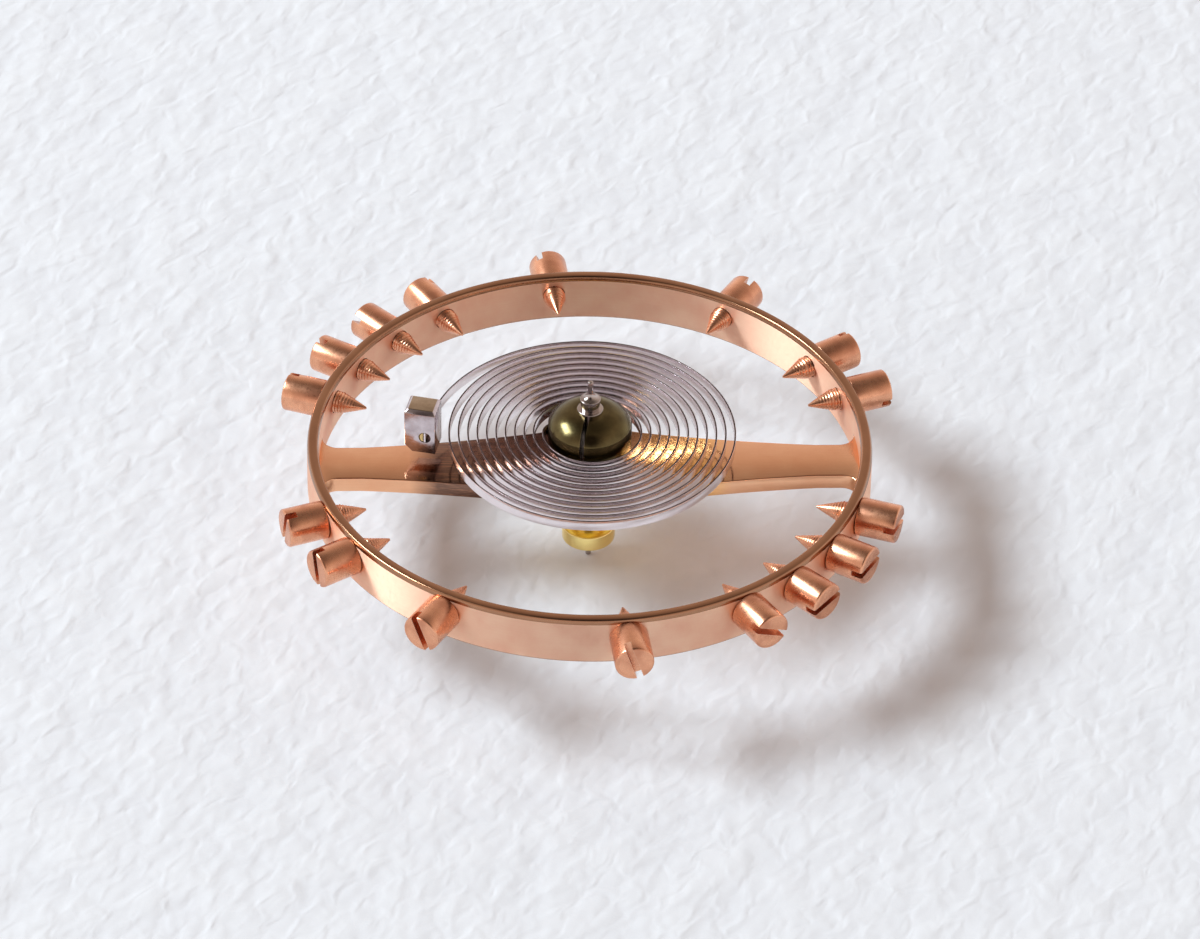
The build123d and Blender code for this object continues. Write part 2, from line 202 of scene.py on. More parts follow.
# Values that the pieces share
up = Vector((0, 0, 1))
cut_overrun = 0.1
edge_steps = 3
seat_clearance = 0.005
inner_radius = rim_radius - rim_thickness
rim_top = wheel_high.z
rim_bottom = wheel_low.z
arm_top = rim_top - arm_drop
arm_bottom = arm_top - arm_thickness
screw_level = rim_top - screw_drop
spring_level = (spring_low.z + spring_high.z) / 2
strip_height = spring_high.z - spring_low.z
collet_radius = collet_high.x
collet_wall_top = collet_low.z + (collet_high.z - collet_low.z) * collet_wall_rise_share
pin_hole_radius = hypot(strip_height, strip_thickness) / 2 + strip_hole_clearance

screw_step = (180.0 - 2 * screw_start_angle) / (len(screw_place_pattern) - 1)
half_angles = [
    screw_start_angle + place * screw_step
    for place, mark in enumerate(screw_place_pattern)
    if mark == "x"
]
screw_angles = half_angles + [angle + 180.0 for angle in half_angles]


# Helpers for shapes
def direction(angle):
    """Unit vector in the wheel's plane at this angle."""
    return Vector((cos(radians(angle)), sin(radians(angle)), 0.0))


def sideways(outwards):
    """The way to the left of this one in the wheel's plane."""
    return Vector((-outwards.y, outwards.x, 0))


def spread(first, last, steps):
    """Values from the first to the last in this many equal steps, both ends included."""
    return [first + (last - first) * step / steps for step in range(steps + 1)]


def circle(radius, segments, level):
    """Points of a level circle about the Z axis."""
    return [direction(angle) * radius + up * level for angle in spread(0, 360, segments)[:-1]]


def arc_points(centre, radius, first, sweep, steps):
    """Points of an arc in the plane, both ends included."""
    return [
        (centre[0] + radius * cos(radians(angle)), centre[1] + radius * sin(radians(angle)))
        for angle in spread(first, first + sweep, steps)
    ]


def arc_through(start, middle, end, steps):
    """Points of the arc through three points, both ends included."""
    ax, ay = start
    bx, by = middle
    cx, cy = end
    scale = 2 * (ax * (by - cy) + bx * (cy - ay) + cx * (ay - by))
    a_square, b_square, c_square = ax * ax + ay * ay, bx * bx + by * by, cx * cx + cy * cy
    x = (a_square * (by - cy) + b_square * (cy - ay) + c_square * (ay - by)) / scale
    y = (a_square * (cx - bx) + b_square * (ax - cx) + c_square * (bx - ax)) / scale
    first = degrees(atan2(ay - y, ax - x))
    passing = (degrees(atan2(by - y, bx - x)) - first) % 360
    sweep = (degrees(atan2(cy - y, cx - x)) - first) % 360
    if passing > sweep:
        sweep -= 360
    return arc_points((x, y), hypot(ax - x, ay - y), first, sweep, steps)


def round_corners(points, steps=edge_steps):
    """A closed outline's points, where a corner with a third number is rounded by that radius."""
    rounded = []
    for index, point in enumerate(points):
        corner = Vector(point[:2])
        if len(point) < 3:
            rounded.append(tuple(corner))
            continue
        before = (Vector(points[index - 1][:2]) - corner).normalized()
        after = (Vector(points[(index + 1) % len(points)][:2]) - corner).normalized()
        half = before.angle(after) / 2
        centre = corner + (before + after).normalized() * point[2] / sin(half)
        reach = point[2] * cos(half) / sin(half)
        first = corner + before * reach - centre
        last = corner + after * reach - centre
        turn = first.angle_signed(last)
        for part in spread(0, -turn, steps):
            rounded.append(tuple(centre + Matrix.Rotation(part, 2) @ first))
    return rounded


def skin(shape, rows, wrap=True, loop=False, skip=None):
    """Joins each row of points to the next with faces. A row of one point is a pole."""
    rings = [[shape.verts.new(point) for point in row] for row in rows]
    pairs = list(zip(rings, rings[1:] + rings[:1])) if loop else list(zip(rings, rings[1:]))
    for number, (lower, upper) in enumerate(pairs):
        count = max(len(lower), len(upper))
        for index in range(count if wrap else count - 1):
            if skip and skip(number, index):
                continue
            following = (index + 1) % count
            if len(lower) == 1:
                shape.faces.new((lower[0], upper[following], upper[index]))
            elif len(upper) == 1:
                shape.faces.new((lower[index], lower[following], upper[0]))
            else:
                shape.faces.new((lower[index], lower[following], upper[following], upper[index]))
    return rings


def capped_skin(shape, rows):
    """Joins each row of points to the next and closes both ends."""
    rings = skin(shape, rows)
    shape.faces.new(reversed(rings[0]))
    shape.faces.new(rings[-1])


def lathe(shape, profile, segments, loop=False):
    """Turns a profile of (radius, level) points about +Z."""
    rows = [
        circle(radius, segments, level) if radius else [up * level] for radius, level in profile
    ]
    skin(shape, rows, loop=loop)


def inset(outline, distance, level):
    """Points at this level of a counterclockwise outline drawn in by this distance."""
    least_share = 0.5
    points = [Vector(point) for point in outline]
    drawn = []
    for index, point in enumerate(points):
        before = (point - points[index - 1]).normalized()
        after = (points[(index + 1) % len(points)] - point).normalized()
        inwards = Vector((-before.y - after.y, before.x + after.x)).normalized()
        share = max(least_share, abs(inwards.dot(Vector((-before.y, before.x)))))
        drawn.append((point + inwards * distance / share).to_3d() + up * level)
    return drawn


def prism(shape, outline, low, high, edge=0.0):
    """A closed prism along +Z, whose end edges are drawn in by this much."""
    ends = [(0, low), (0, high)]
    if edge:
        ends = [(edge, low), (0, low + edge), (0, high - edge), (edge, high)]
    capped_skin(shape, [inset(outline, draw, level) for draw, level in ends])


def join_loops(shape, first, second):
    """Faces between two closed loops of as many vertices."""
    for index in range(len(first)):
        following = (index + 1) % len(first)
        shape.faces.new((first[index], first[following], second[following], second[index]))


def add_object(name, data):
    """A new object in the scene."""
    made = bpy.data.objects.new(name, data)
    bpy.context.scene.collection.objects.link(made)
    return made


def draft(shape, name):
    """An object from a closed shape, still in millimetres."""
    bmesh.ops.recalc_face_normals(shape, faces=shape.faces)
    mesh = bpy.data.meshes.new(name)
    shape.to_mesh(mesh)
    shape.free()
    return add_object(name, mesh)


def combine(target, tool, operation):
    """Joins the tool to the target or cuts it out, and removes the tool."""
    modifier = target.modifiers.new("combine", "BOOLEAN")
    modifier.operation = operation
    modifier.solver = "EXACT"
    modifier.object = tool
    evaluated = target.evaluated_get(bpy.context.evaluated_depsgraph_get())
    mesh = bpy.data.meshes.new_from_object(evaluated)
    target.modifiers.clear()
    target.data = mesh
    bpy.data.objects.remove(tool)
    return target


def placing(origin, x_axis, z_axis):
    """Matrix of a frame at this origin, in millimetres, with these local X and Z axes."""
    turned = Matrix((x_axis, z_axis.cross(x_axis), z_axis)).transposed().to_4x4()
    return Matrix.Translation(origin) @ turned


def round_bar(radius, segments, low, high, place):
    """A draft of a round bar along the Z axis of this frame, to cut with."""
    shape = bmesh.new()
    capped_skin(shape, [
        [place @ point for point in circle(radius, segments, level)] for level in (low, high)
    ])
    return draft(shape, "bar")


def dress(piece, materials, sharp_angle):
    """Scales a draft to metres and gives it its materials and smooth shading."""
    mesh = piece.data
    mesh.name = piece.name
    mesh.transform(Matrix.Scale(MM, 4))
    for material in materials:
        mesh.materials.append(material)
    mesh.shade_smooth()
    mesh.set_sharp_from_angle(angle=radians(sharp_angle))
    weighted = piece.modifiers.new("face_normals", "WEIGHTED_NORMAL")
    weighted.keep_sharp = True


def finish_piece(piece, body, materials, place=Matrix(), sharp_angle=35.0):
    """Dresses a draft, puts it in its place, gives it its body and hides the CAD node it stands
    for.
    """
    dress(piece, materials, sharp_angle)
    piece.matrix_world = Matrix.Translation(place.to_translation() * MM) @ place.to_3x3().to_4x4()
    replaced = piece.name.removesuffix("_visual")
    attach(piece, body)
    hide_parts(replaced)


# Materials
AXES = {"X": (1, 0, 0), "Z": (0, 0, 1)}
# Edges: lighter along the rounding, partly wear and partly a painted highlight
edge_wear_and_highlight_width = 0.015
edge_wear_and_highlight_likeness = (0.80, 0.98)
edge_wear_and_highlight_share = 0.6
mark_tint_range = (0.45, 0.75)
mark_tint_share = 0.35
gloss_range = (0.12, 0.40)
# Soft border of a painted reflection band, in millimetres
painted_reflection_border = 0.25
quarter_turn = 0.25


def node(tree, kind, inputs=None, **settings):
    """Adds a shader node. An input is a value, or another node's output to link to."""
    made = tree.nodes.new(kind)
    for name, value in settings.items():
        setattr(made, name, value)
    for name, value in (inputs or {}).items():
        if isinstance(value, bpy.types.NodeSocket):
            tree.links.new(value, made.inputs[name])
        else:
            made.inputs[name].default_value = value
    return made


def new_material(name):
    """A material with its tree and its Principled shader."""
    material = bpy.data.materials.new(name)
    material.use_nodes = True
    shader = material.node_tree.nodes["Principled BSDF"]
    return material, material.node_tree, shader


def map_range(tree, value, low, high, start=0.3, end=0.7):
    """A value between start and end, mapped to between low and high."""
    ranged = node(
        tree, "ShaderNodeMapRange",
        {"Value": value, "From Min": start, "From Max": end, "To Min": low, "To Max": high},
    )
    return ranged.outputs["Result"]


def mix_colours(tree, factor, *colours):
    """Mixes two colours, each of three numbers or a socket."""
    first, second = [(*colour, 1) if isinstance(colour, tuple) else colour for colour in colours]
    mixed = node(
        tree, "ShaderNodeMix", {0: factor, 6: first, 7: second}, data_type="RGBA", clamp_factor=True
    )
    return mixed.outputs[2]


def calculated(tree, operation, *values):
    """Result of a math node."""
    made = node(tree, "ShaderNodeMath", dict(enumerate(values)), operation=operation)
    return made.outputs["Value"]


def vector_math(tree, operation, *values):
    """Result of a vector math node, a number or a vector."""
    made = node(tree, "ShaderNodeVectorMath", dict(enumerate(values)), operation=operation)
    return made.outputs["Value" if operation in ("DOT_PRODUCT", "LENGTH") else "Vector"]


def noise(tree, place, size, **inputs):
    """Noise whose lumps are about this many millimetres wide."""
    values = {"Vector": place, "Scale": 1 / (size * MM), **inputs}
    return node(tree, "ShaderNodeTexNoise", values).outputs["Fac"]


def bump(tree, height, distance, **inputs):
    """Normal of a surface that stands out by up to this many millimetres."""
    values = {"Height": height, "Distance": distance * MM, **inputs}
    return node(tree, "ShaderNodeBump", values).outputs["Normal"]


def turned_place(tree, place, axis):
    """Texture place whose X is the distance from the axis and whose Y is the way along it."""
    along = vector_math(tree, "DOT_PRODUCT", place, axis)
    across = vector_math(tree, "MULTIPLY", place, Vector((1, 1, 1)) - Vector(axis))
    distance = vector_math(tree, "LENGTH", across)
    return node(tree, "ShaderNodeCombineXYZ", {"X": distance, "Y": along}).outputs["Vector"]


def metal(
    name, colour, tint, roughness, rougher, axis=None, stretch=(1, 1, 1), mark_size=0.03,
    mark_height=0.0004, cloud_size=0.9, anisotropy=0.0, wear_and_highlight_colour=None, painted_reflections=(),
):
    """Polished metal: cloudy tint, uneven gloss, fine marks turned about an axis or drawn out, and
    lighter edges, partly wear and partly a painted highlight.

    A painted reflection is a band (middle, half width, colour) along X, a reflection painted into
    the colour. Sizes are in millimetres.
    """
    material, tree, shader = new_material(name)
    place = node(tree, "ShaderNodeTexCoord").outputs["Object"]
    if axis:
        marks_place = turned_place(tree, place, AXES[axis])
    else:
        marks_place = vector_math(tree, "MULTIPLY", place, stretch)
    marks = noise(tree, marks_place, mark_size, Detail=3.0, Roughness=0.6)
    clouds = noise(tree, place, cloud_size, Detail=5.0, Roughness=0.55)
    specks = noise(tree, place, mark_size * 2, Detail=2.0)
    surface = mix_colours(tree, map_range(tree, clouds, 0.0, 1.0), colour, tint)
    # Bands along X get their own colour mixed in: painted reflections
    for middle, half_width, reflection_colour in painted_reflections:
        along = node(tree, "ShaderNodeSeparateXYZ", {"Vector": place}).outputs["X"]
        away = calculated(tree, "ABSOLUTE", calculated(tree, "ADD", along, -middle * MM))
        border = [(half_width + side * painted_reflection_border) * MM for side in (-1, 1)]
        surface = mix_colours(tree, map_range(tree, away, 1.0, 0.0, *border), surface, reflection_colour)
    marked = map_range(tree, marks, 0.0, mark_tint_share, *mark_tint_range)
    surface = mix_colours(tree, marked, surface, tint)
    # Rounded edges turn lighter: partly wear, partly a painted highlight
    if wear_and_highlight_colour:
        flat = node(tree, "ShaderNodeNewGeometry").outputs["Normal"]
        rounded = node(tree, "ShaderNodeBevel", {"Radius": edge_wear_and_highlight_width * MM}, samples=4)
        likeness = vector_math(tree, "DOT_PRODUCT", flat, rounded.outputs["Normal"])
        worn = map_range(tree, likeness, edge_wear_and_highlight_share, 0.0, *edge_wear_and_highlight_likeness)
        surface = mix_colours(tree, worn, surface, wear_and_highlight_colour)
    tree.links.new(surface, shader.inputs["Base Color"])
    uneven = calculated(tree, "MULTIPLY", clouds, specks)
    gloss = map_range(tree, uneven, roughness, rougher, *gloss_range)
    tree.links.new(gloss, shader.inputs["Roughness"])
    tree.links.new(bump(tree, marks, mark_height, Strength=1.0), shader.inputs["Normal"])
    shader.inputs["Metallic"].default_value = 1.0
    if anisotropy:
        shader.inputs["Anisotropic"].default_value = anisotropy
        shader.inputs["Anisotropic Rotation"].default_value = quarter_turn
        along_turn = node(tree, "ShaderNodeTangent", direction_type="RADIAL", axis=axis)
        tree.links.new(along_turn.outputs["Tangent"], shader.inputs["Tangent"])
    return material


rose_metal = (1.0, 0.67, 0.48)
rose_tint = (0.95, 0.55, 0.39)
rose_wear_and_highlight = (1.0, 0.78, 0.56)
wall_material = metal(
    "turned_rose_alloy", rose_metal, rose_tint, 0.40, 0.50, axis="Z", mark_size=0.022,
    cloud_size=0.6, wear_and_highlight_colour=rose_wear_and_highlight, anisotropy=0.95,
)
# The rim's upward faces: a darker copy of the alloy's colour, painted shade for the dark room they
# mirror
rim_painted_shade_material = metal(
    "rim_rose_alloy_painted_shade", (0.45, 0.235, 0.135), (0.35, 0.175, 0.10), 0.14, 0.22, axis="Z",
    mark_height=0.0001, wear_and_highlight_colour=(0.80, 0.48, 0.32),
)
# Arms: the dark band left of the hub and the golden band right of it are painted reflections of the
# coils and the room
arm_material = metal(
    "polished_rose_alloy", (0.95, 0.55, 0.33), (0.86, 0.44, 0.25), 0.08, 0.18,
    stretch=(0.05, 1, 1), wear_and_highlight_colour=(1.0, 0.74, 0.42),
    painted_reflections=((-1.1, 1.85, (0.20, 0.115, 0.085)), (1.55, 0.72, (1.0, 0.56, 0.19))),
)
screw_material = metal(
    "screw_rose_alloy", (0.94, 0.48, 0.29), (0.62, 0.27, 0.16), 0.24, 0.34, axis="X",
    mark_size=0.025, mark_height=0.00015, cloud_size=0.4, wear_and_highlight_colour=rose_wear_and_highlight, anisotropy=0.3,
)
steel_material = metal(
    "polished_steel", (0.60, 0.54, 0.51), (0.32, 0.27, 0.26), 0.10, 0.22, axis="Z",
    mark_size=0.02, mark_height=0.0001, cloud_size=0.5, anisotropy=0.6,
)
roller_material = metal(
    "roller_brass", (1.0, 0.83, 0.34), (1.0, 0.74, 0.27), 0.16, 0.26, axis="Z",
    mark_size=0.02, cloud_size=0.6, wear_and_highlight_colour=(1.0, 0.86, 0.5), anisotropy=0.6,
)
# Collet: the brass is made very dark, painted shade for the dark room that its dome mirrors
collet_painted_shade_material = metal(
    "collet_brass", (0.17, 0.135, 0.060), (0.08, 0.060, 0.026), 0.16, 0.26, axis="Z",
    mark_size=0.02, mark_height=0.0002, cloud_size=0.3, wear_and_highlight_colour=(0.85, 0.70, 0.34),
)
pin_material = metal(
    "pin_brass", (0.84, 0.64, 0.30), (0.66, 0.46, 0.20), 0.16, 0.30, stretch=(0.1, 1, 1),
    mark_size=0.02, mark_height=0.0003, cloud_size=0.3,
)
spring_material = metal(
    "spring_steel", (0.88, 0.82, 0.83), (0.76, 0.69, 0.71), 0.14, 0.24, axis="Z",
    mark_height=0.0001, cloud_size=0.7,
)
# The strip's top and bottom faces: a near-black copy of the spring steel, painted shade for the
# dark lines between the turns
spring_painted_shade_material = metal(
    "spring_edge_painted_shade", (0.12, 0.08, 0.08), (0.07, 0.045, 0.045), 0.16, 0.30, axis="Z",
    mark_height=0.0001, cloud_size=0.7,
)
stud_material = metal(
    "stud_steel", (0.74, 0.67, 0.70), (0.46, 0.39, 0.41), 0.10, 0.24, stretch=(1, 1, 0.12),
    mark_size=0.025, mark_height=0.0005, cloud_size=0.25, wear_and_highlight_colour=(0.8, 0.70, 0.54),
)
# The stud's upward faces: a golden copy of its steel, a painted reflection
stud_top_painted_reflection_material = metal(
    "stud_top_painted_reflection", (0.58, 0.47, 0.35), (0.38, 0.29, 0.20), 0.10, 0.20, cloud_size=0.3,
    wear_and_highlight_colour=(0.9, 0.76, 0.55),
)


def make_ruby():
    """Clear red stone with faint clouds."""
    cloud_size = 0.08
    cloud_height = 0.0002
    ruby_red = (0.72, 0.03, 0.10)
    ruby_deep = (0.50, 0.01, 0.06)
    material, tree, shader = new_material("ruby")
    place = node(tree, "ShaderNodeTexCoord").outputs["Object"]
    clouds = noise(tree, place, cloud_size, Detail=3.0)
    red = mix_colours(tree, map_range(tree, clouds, 0.0, 1.0), ruby_red, ruby_deep)
    tree.links.new(red, shader.inputs["Base Color"])
    tree.links.new(map_range(tree, clouds, 0.02, 0.08), shader.inputs["Roughness"])
    tree.links.new(bump(tree, clouds, cloud_height), shader.inputs["Normal"])
    shader.inputs["Transmission Weight"].default_value = 0.7
    shader.inputs["IOR"].default_value = 1.76
    return material


ruby_material = make_ruby()


# Wheel: the rim's section is a closed loop of rows. Each screw has a patch of columns, where the
# rows of both walls leave room for its hole.
def rim_column_angles():
    """Angle of each column of the rim, and the first column of each screw's patch."""
    angles = []
    patch_starts = []
    for index, angle in enumerate(screw_angles):
        following = screw_angles[(index + 1) % len(screw_angles)]
        if following < angle:
            following += 360
        patch_starts.append(len(angles))
        start, end = angle + hole_patch_angle, following - hole_patch_angle
        angles += spread(angle - hole_patch_angle, start, hole_patch_columns)[:-1]
        angles += spread(start, end, ceil((end - start) / rim_column_angle))[:-1]
    return angles, patch_starts


def make_rim():
    """The rim with its screw holes, as one closed shape."""
    shape = bmesh.new()
    angles, patch_starts = rim_column_angles()
    half_patch = hole_patch_half_height
    levels = spread(screw_level - half_patch, screw_level + half_patch, rim_wall_rows)
    edge = rim_edge_radius
    outer_wall = [(rim_radius, level) for level in levels]
    inner_wall = [(inner_radius, level) for level in reversed(levels)]
    worn = [
        (x * rim_worn_reach, y * rim_worn_drop)
        for x, y in arc_points((0, 0), 1, 0, 90, rim_worn_steps)
    ]
    worn_level = rim_top - rim_worn_drop
    top = [(rim_radius - rim_worn_reach + x, worn_level + y) for x, y in worn]
    top += [(inner_radius + rim_worn_reach - x, worn_level + y) for x, y in reversed(worn)]
    bottom = arc_points((inner_radius + edge, rim_bottom + edge), edge, 180, 90, edge_steps)
    bottom += arc_points((rim_radius - edge, rim_bottom + edge), edge, 270, 90, edge_steps)
    section = outer_wall + top + inner_wall + bottom
    inner_first = len(outer_wall) + len(top)
    rows = [
        [direction(angle) * radius + up * level for angle in angles] for radius, level in section
    ]
    patch_columns = {
        start + column for start in patch_starts for column in range(hole_patch_columns)
    }
    patch_rows = set(range(rim_wall_rows)) | set(range(inner_first, inner_first + rim_wall_rows))
    rings = skin(
        shape, rows, loop=True,
        skip=lambda row, column: row in patch_rows and column in patch_columns,
    )
    for start, angle in zip(patch_starts, screw_angles):
        add_screw_hole(shape, rings, start, angle, inner_first)
    return draft(shape, "balance_wheel_visual")


def add_screw_hole(shape, rings, start, angle, inner_first):
    """Fills a patch of both walls round its hole and joins the two by the hole's wall."""
    columns, rows = hole_patch_columns, rim_wall_rows
    border = [(0, column) for column in range(columns)]
    border += [(row, columns) for row in range(rows)]
    border += [(rows, column) for column in range(columns, 0, -1)]
    border += [(row, 0) for row in range(rows, 0, -1)]
    outwards = direction(angle)
    beside = sideways(outwards)
    mouths = []
    turns = None
    for radius, is_inner in ((rim_radius, False), (inner_radius, True)):
        corners = []
        for row, column in border:
            ring = rings[inner_first + rows - row] if is_inner else rings[row]
            corners.append(ring[(start + column) % len(ring)])
        asides = [corner.co.dot(beside) for corner in corners]
        rises = [corner.co.z - screw_level for corner in corners]
        if turns is None:
            turns = [atan2(rise, aside) for aside, rise in zip(asides, rises)]
        loops = [corners]
        for share in (0.5, 1.0):
            loop = []
            for aside, rise, turn in zip(asides, rises, turns):
                aside += (hole_radius * cos(turn) - aside) * share
                level = screw_level + rise + (hole_radius * sin(turn) - rise) * share
                ahead = sqrt(radius * radius - aside * aside)
                loop.append(shape.verts.new(outwards * ahead + beside * aside + up * level))
            loops.append(loop)
        mouths.append(loops[-1])
        for outside, inside in zip(loops, loops[1:]):
            join_loops(shape, outside, inside)
    join_loops(shape, mouths[0], mouths[1])


def arm_outline():
    """Outline of the crossbar, whose ends reach into the rim."""
    root, middle, end = [inner_radius * share for share in arm_reach_shares]
    half_end = arm_end_width / 2
    fillet_y = half_end + arm_fillet_radius
    fillet_reach = inner_radius - arm_fillet_radius
    fillet_x = sqrt(fillet_reach ** 2 - fillet_y ** 2)
    fillet_end = degrees(atan2(fillet_y, fillet_x))
    corner = direction(fillet_end) * (rim_radius - rim_thickness / 2)
    right = [(corner.x, 0), (corner.x, corner.y)]
    fillet = arc_points(
        (fillet_x, fillet_y), arm_fillet_radius, -90, 90 + fillet_end, arm_fillet_steps
    )
    side = [(end, half_end), (middle, arm_mid_width / 2), (root, arm_root_width / 2)]
    right += fillet[::-1] + arc_through(*side, arm_curve_steps)
    hub = arc_through(side[-1], (0, hub_width / 2), (-root, arm_root_width / 2), arm_curve_steps)
    left = [(-x, y) for x, y in reversed(right)]
    upper = right + hub[1:-1] + left
    lower = [(x, -y) for x, y in reversed(upper)]
    return upper + lower[1:-1]


def make_arms():
    """The crossbar with rounded edges and the staff's hole."""
    shape = bmesh.new()
    outline = arm_outline()
    edge = arm_edge_radius
    arc = arc_points((0, 0), edge, 0, 90, edge_steps)
    bottom_arc = [(edge - x, arm_bottom + edge - y) for x, y in reversed(arc)]
    top_arc = [(edge - x, arm_top - edge + y) for x, y in arc]
    hole_section = [
        (edge / 2, arm_bottom), (0, arm_bottom + edge / 2),
        (0, arm_top - edge / 2), (edge / 2, arm_top),
    ]
    outer = skin(shape, [inset(outline, draw, level) for draw, level in bottom_arc + top_arc])
    hole = skin(shape, [
        circle(hub_hole_radius + draw, hub_hole_segments, level) for draw, level in hole_section
    ])
    for outside, inside in ((outer[0], hole[0]), (outer[-1], hole[-1])):
        pairs = zip(outside + inside, outside[1:] + outside[:1] + inside[1:] + inside[:1])
        edges = [shape.edges.get(pair) for pair in pairs]
        bmesh.ops.triangle_fill(shape, use_beauty=True, use_dissolve=False, edges=edges)
    return draft(shape, "arms")


def make_wheel():
    """Rim and crossbar in one piece."""
    wheel = combine(make_rim(), make_arms(), "UNION")
    for polygon in wheel.data.polygons:
        if hypot(polygon.center.x, polygon.center.y) < inner_radius - arm_face_margin:
            polygon.material_index = 1
        # Upward faces of the rim take the darker copy: painted shade
        elif abs(polygon.normal.z) > painted_shade_band_normal:
            polygon.material_index = 2
    finish_piece(wheel, "balance", (wall_material, arm_material, rim_painted_shade_material))


# Screws: local X runs outwards from the rim's outer face and the slot runs along local Z
def make_screw_shape():
    """One slotted screw with a threaded point, as a closed shape."""
    shape = bmesh.new()
    half_slot = slot_width / 2
    floor_x = head_length - slot_depth
    edge = head_edge_radius
    flat_radius = head_radius - edge
    slot_angle = degrees(asin(half_slot / head_radius))

    def on_turn(x, radius, turn):
        """Point at this turn about the screw's axis."""
        return Vector((x, radius * sin(radians(turn)), radius * cos(radians(turn))))

    def lobe_turns(base, margin):
        """Turns of a half head's columns, from one wall of the slot to the other."""
        return spread(base + margin, base + 180 - margin, head_lobe_columns)

    def slot_turns(base):
        """Turns of the columns across the slot's far end."""
        return spread(base + 180 - slot_angle, base + 180 + slot_angle, slot_columns)[1:-1]

    def lobe_row(x, radius, base):
        """Row of a half head, which is one point where it would lie in the slot."""
        if radius <= half_slot:
            return [on_turn(x, half_slot, base + 90)]
        margin = degrees(asin(half_slot / radius))
        return [on_turn(x, radius, turn) for turn in lobe_turns(base, margin)]

    radii = spread(half_slot, flat_radius, head_face_rows)[:-1]
    head_rows = [(head_length, radius) for radius in radii]
    outer_edge = arc_points((flat_radius, head_length - edge), edge, 90, -90, head_edge_steps)
    head_rows += [(x, radius) for radius, x in outer_edge]
    head_rows.append((floor_x, head_radius))
    turns = []
    top_ring = []
    slot_floor = []
    halves = []
    for base in (0, 180):
        rings = skin(shape, [lobe_row(x, radius, base) for x, radius in head_rows], wrap=False)
        shape.faces.new([ring[0] for ring in reversed(rings)] + [ring[-1] for ring in rings[1:]])
        halves.append((base, rings[-1]))
    for base, foot in halves:
        across = [shape.verts.new(on_turn(floor_x, head_radius, turn)) for turn in slot_turns(base)]
        turns += lobe_turns(base, slot_angle) + slot_turns(base)
        top_ring += foot + across
        slot_floor += [foot[0], foot[-1], *across]
    shape.faces.new(slot_floor)

    def ring_at(x, radius, threaded=0.0):
        """Ring of the body, cut by a thread of this depth."""
        ring = []
        for turn in turns:
            wave = abs(((x / thread_pitch - turn / 360) % 1.0) * 2 - 1)
            ring.append(on_turn(x, radius - threaded * wave, turn))
        return ring

    seat_edge = edge / 2
    seat_arc = arc_points((head_radius - seat_edge, seat_edge), seat_edge, 0, -90, edge_steps)
    body_rows = [ring_at(x, radius) for radius, x in seat_arc]
    body_rows.append(ring_at(0, shank_radius))
    thread_start = -rim_thickness / 2
    shank_end = -rim_thickness - shank_projection
    tip_x = shank_end - point_length
    steps = ceil((thread_start - tip_x) / (thread_pitch / thread_rows))
    for step, x in enumerate(spread(thread_start, tip_x, steps)):
        down = max(0.0, (shank_end - x) / point_length)
        radius = shank_radius + (point_flat - shank_radius) * down
        fade = min(1.0, step / thread_rows) * max(0.0, 1 - down / thread_share_of_point)
        body_rows.append(ring_at(x, radius, thread_depth * fade))
    body_rows.append([Vector((tip_x, 0, 0))])
    rings = skin(shape, body_rows)
    join_loops(shape, top_ring, rings[0])
    return shape


def make_screws():
    """Every screw from the one shape, each with its slot turned its own way."""
    pattern = draft(make_screw_shape(), "screw_pattern")
    for number, (angle, slot_turn) in enumerate(zip(screw_angles, screw_slot_angles), start=1):
        screw = add_object(f"balance_screw_{number:02d}_visual", pattern.data.copy())
        outwards = direction(angle)
        slot_way = up * cos(radians(slot_turn)) + sideways(outwards) * sin(radians(slot_turn))
        place = placing(outwards * rim_radius + up * screw_level, outwards, slot_way)
        finish_piece(screw, "balance", (screw_material,), place)
    bpy.data.objects.remove(pattern)


# Staff: turned in one piece
def make_staff():
    """The staff's profile, turned."""
    edge = staff_edge_radius
    flange_radius = staff_high.x
    roller_top = roller_high.z
    lower_root = lower_pivot_length + root_radius
    upper_pivot_foot = staff_high.z - upper_pivot_length
    shoulder = upper_pivot_foot - root_radius
    seat_top = shoulder - upper_shoulder_length
    flare, sweep = root_radius, staff_flare_sweep
    flare_x = pivot_radius + flare
    lower_flare = arc_points((flare_x, lower_pivot_length), flare, 180, -sweep, staff_flare_steps)
    upper_flare = arc_points(
        (flare_x, upper_pivot_foot), flare, 180 + sweep, -sweep, staff_flare_steps
    )
    outline = [
        (0.0, 0.0),
        (pivot_radius, 0.0, pivot_tip_radius),
        *lower_flare[:-1],
        (root_radius, lower_root),
        (roller_seat_radius, lower_root, edge),
        (roller_seat_radius, roller_top),
        (flange_radius, roller_top, edge),
        (flange_radius, arm_bottom, edge),
        (wheel_seat_radius, arm_bottom),
        (wheel_seat_radius, arm_top),
        (rivet_radius, arm_top),
        (rivet_radius, arm_top + rivet_height, edge * 2),
        (collet_seat_radius, arm_top + rivet_height),
        (collet_seat_radius, seat_top, edge),
        (upper_shoulder_neck_radius, seat_top),
        (upper_shoulder_radius, shoulder, edge),
        (root_radius, shoulder),
        *upper_flare[1:],
        (pivot_radius, staff_high.z, pivot_tip_radius),
        (0.0, staff_high.z),
    ]
    shape = bmesh.new()
    lathe(shape, round_corners(outline), staff_segments)
    staff = draft(shape, "balance_staff_visual")
    finish_piece(staff, "balance", (steel_material,), sharp_angle=40.0)


